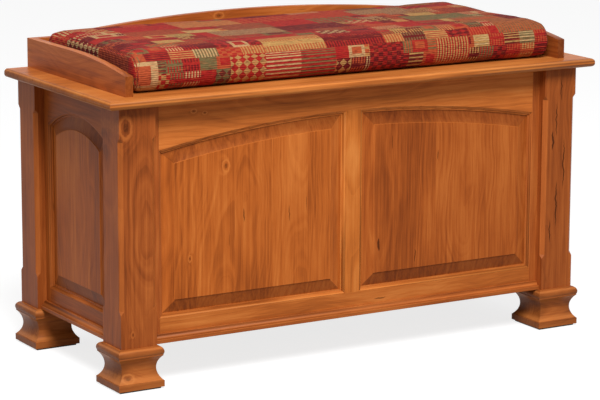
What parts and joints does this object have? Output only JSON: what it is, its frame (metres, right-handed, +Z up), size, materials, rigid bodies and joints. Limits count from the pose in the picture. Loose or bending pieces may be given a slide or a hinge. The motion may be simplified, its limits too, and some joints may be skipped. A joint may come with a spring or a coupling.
{
  "type": "storage bench",
  "caption": "Wooden storage bench: frame and panel chest on moulded feet, hinged lid with a low gallery and a loose seat cushion.",
  "frame": {"origin": "on the floor, under the middle of the outer box", "axes": "+Z up, -Y towards the front, +X to the right as seen from the front"},
  "size_m": [1.106, 0.4786, 0.6485],
  "materials": {
    "post_wood": "satin",
    "foot_wood": "satin",
    "front_frame_wood": "satin",
    "front_panel_wood": "satin",
    "side_frame_wood": "satin",
    "side_panel_wood": "satin",
    "lid_wood": "satin",
    "gallery_wood": "satin",
    "moulding_wood": "satin",
    "inner_wood": "satin",
    "pad_felt": "matte",
    "zinc_steel": "satin",
    "hinge_brass": "antique satin",
    "bumper_rubber": "matte",
    "cushion_fabric": "ribbed chenille",
    "grip_tape": "matte"
  },
  "bodies": {
    "case": {"front_left_post": "post_wood", "front_right_post": "post_wood", "rear_left_post": "post_wood", "rear_right_post": "post_wood", "front_left_foot": "foot_wood", "front_right_foot": "foot_wood", "rear_left_foot": "foot_wood", "rear_right_foot": "foot_wood", "front_left_pad": "pad_felt", "front_right_pad": "pad_felt", "rear_left_pad": "pad_felt", "rear_right_pad": "pad_felt", "foot_bolts": "zinc_steel", "front_left_stile": "front_frame_wood", "front_right_stile": "front_frame_wood", "front_mullion": "front_frame_wood", "front_top_rail": "front_frame_wood", "front_bottom_rail": "front_frame_wood", "front_left_panel": "front_panel_wood", "front_right_panel": "front_panel_wood", "front_base_moulding": "moulding_wood", "left_front_stile": "side_frame_wood", "left_rear_stile": "side_frame_wood", "left_top_rail": "side_frame_wood", "left_bottom_rail": "side_frame_wood", "left_panel": "side_panel_wood", "left_base_moulding": "moulding_wood", "right_front_stile": "side_frame_wood", "right_rear_stile": "side_frame_wood", "right_top_rail": "side_frame_wood", "right_bottom_rail": "side_frame_wood", "right_panel": "side_panel_wood", "right_base_moulding": "moulding_wood", "back_top_rail": "side_frame_wood", "back_bottom_rail": "side_frame_wood", "back_panel": "inner_wood", "bottom_panel": "inner_wood", "front_cleat": "inner_wood", "rear_cleat": "inner_wood", "cleat_screws": "zinc_steel", "lid_bumpers": "bumper_rubber", "hinge_left_case_leaf": "hinge_brass", "hinge_centre_case_leaf": "hinge_brass", "hinge_right_case_leaf": "hinge_brass", "hinge_case_screws": "hinge_brass"},
    "lid": {"lid_slab": "lid_wood", "left_gallery_board": "gallery_wood", "right_gallery_board": "gallery_wood", "back_gallery_board": "gallery_wood", "gallery_screws": "zinc_steel", "cushion_grip_strips": "grip_tape", "hinge_pins": "hinge_brass", "hinge_lid_screws": "hinge_brass", "hinge_left_lid_leaf": "hinge_brass", "hinge_centre_lid_leaf": "hinge_brass", "hinge_right_lid_leaf": "hinge_brass"},
    "cushion": {"cushion": "cushion_fabric"}
  },
  "joints": [
    {"name": "lid_hinge", "type": "hinge", "parent": "case", "child": "lid", "pos_m": [0, 0.23255, 0.54345], "axis": [-1, 0, 0], "range_deg": [0, 90]},
    {"name": "cushion_lift", "type": "slide", "parent": "lid", "child": "cushion", "axis": [0, 0, 1], "range_m": [0, 0.15]}
  ]
}
